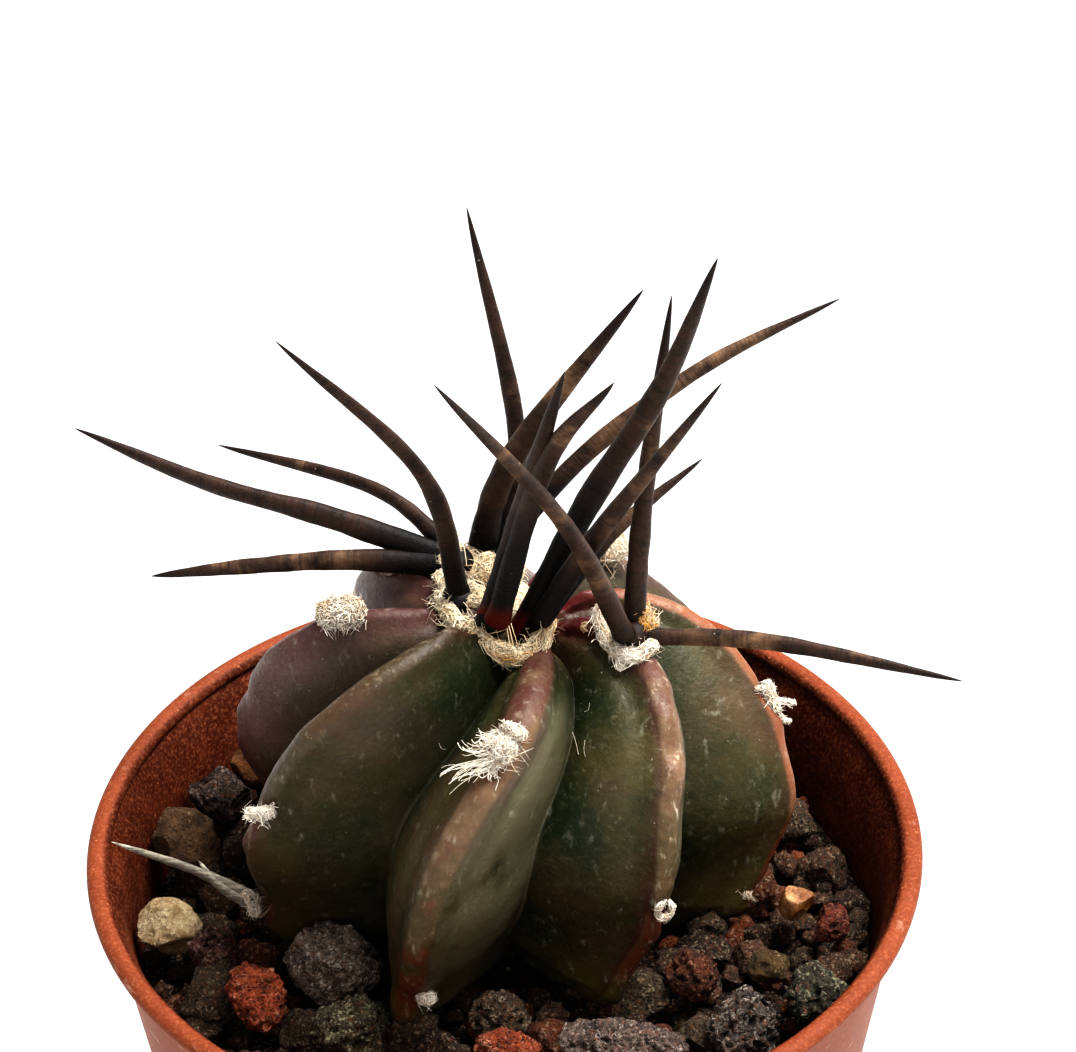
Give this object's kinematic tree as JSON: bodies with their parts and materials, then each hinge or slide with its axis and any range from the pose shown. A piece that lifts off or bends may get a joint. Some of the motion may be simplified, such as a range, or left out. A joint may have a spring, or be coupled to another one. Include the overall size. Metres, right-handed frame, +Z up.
{
  "type": "potted cactus",
  "caption": "Ribbed globe cactus with long dark curved spines and white wool tufts, planted in a small round plastic pot dressed with lava gravel.",
  "frame": {"origin": "middle of the pot's flat bottom", "axes": "+Z up along the pot's axis; +Y away from the picture's viewer, so the plant is seen from -Y; +X to the viewer's right"},
  "size_m": [0.0667, 0.065, 0.1115],
  "materials": {
    "pot": "moulded terracotta-coloured plastic, fine light flecks",
    "potting_mix": "dark fine potting mix",
    "gravel": "dark brown lava gravel, rough and pored",
    "skin": "waxy dark olive skin with purple-brown ribs and pale flecks",
    "spine": "dark brown to black horn, ringed, tan where weathered",
    "old_spine": "dry grey fibre",
    "crown_wool": "cream to golden felted wool",
    "wool": "white felted wool",
    "stone_slate_large": "rough natural stone",
    "stone_lava_red_left": "rough natural stone",
    "stone_pumice_cream": "rough natural stone",
    "stone_olive_left": "rough natural stone",
    "stone_plum_left": "rough natural stone",
    "stone_brown_left": "rough natural stone",
    "stone_purple_back": "rough natural stone",
    "stone_ochre": "rough natural stone",
    "stone_lava_red_front": "rough natural stone",
    "stone_grey_front": "rough natural stone",
    "stone_pink_slab": "rough natural stone",
    "stone_violet_large": "rough natural stone",
    "stone_lava_brown_right": "rough natural stone",
    "stone_olive_right": "rough natural stone",
    "stone_shell_cream": "rough natural stone",
    "stone_amber": "rough natural stone",
    "stone_lava_red_right": "rough natural stone"
  },
  "bodies": {
    "root": {"pot": "pot", "potting_mix": "potting_mix", "gravel_bed": "gravel", "cactus_body": "skin", "spines_rib_1": "spine", "spines_rib_2": "spine", "spines_rib_3": "spine", "spines_rib_4": "spine", "spines_rib_7": "spine", "spines_rib_8": "spine", "old_spines": "old_spine", "crown_wool": "crown_wool", "wool_rib_1_side": "wool", "wool_rib_2_side": "wool", "wool_rib_2_foot": "wool", "wool_rib_3_side": "wool", "wool_rib_3_foot": "wool", "wool_rib_4_upper": "wool", "wool_rib_4_foot": "wool", "wool_rib_5_side": "wool", "wool_rib_5_foot": "wool", "wool_rib_6_upper": "wool", "wool_rib_7_side": "wool", "wool_rib_8_side": "wool", "stone_slate_large": "stone_slate_large", "stone_lava_red_left": "stone_lava_red_left", "stone_pumice_cream": "stone_pumice_cream", "stone_olive_left": "stone_olive_left", "stone_plum_left": "stone_plum_left", "stone_brown_left": "stone_brown_left", "stone_purple_back": "stone_purple_back", "stone_ochre": "stone_ochre", "stone_lava_red_front": "stone_lava_red_front", "stone_grey_front": "stone_grey_front", "stone_pink_slab": "stone_pink_slab", "stone_violet_large": "stone_violet_large", "stone_lava_brown_right": "stone_lava_brown_right", "stone_olive_right": "stone_olive_right", "stone_shell_cream": "stone_shell_cream", "stone_amber": "stone_amber", "stone_lava_red_right": "stone_lava_red_right"}
  },
  "joints": []
}
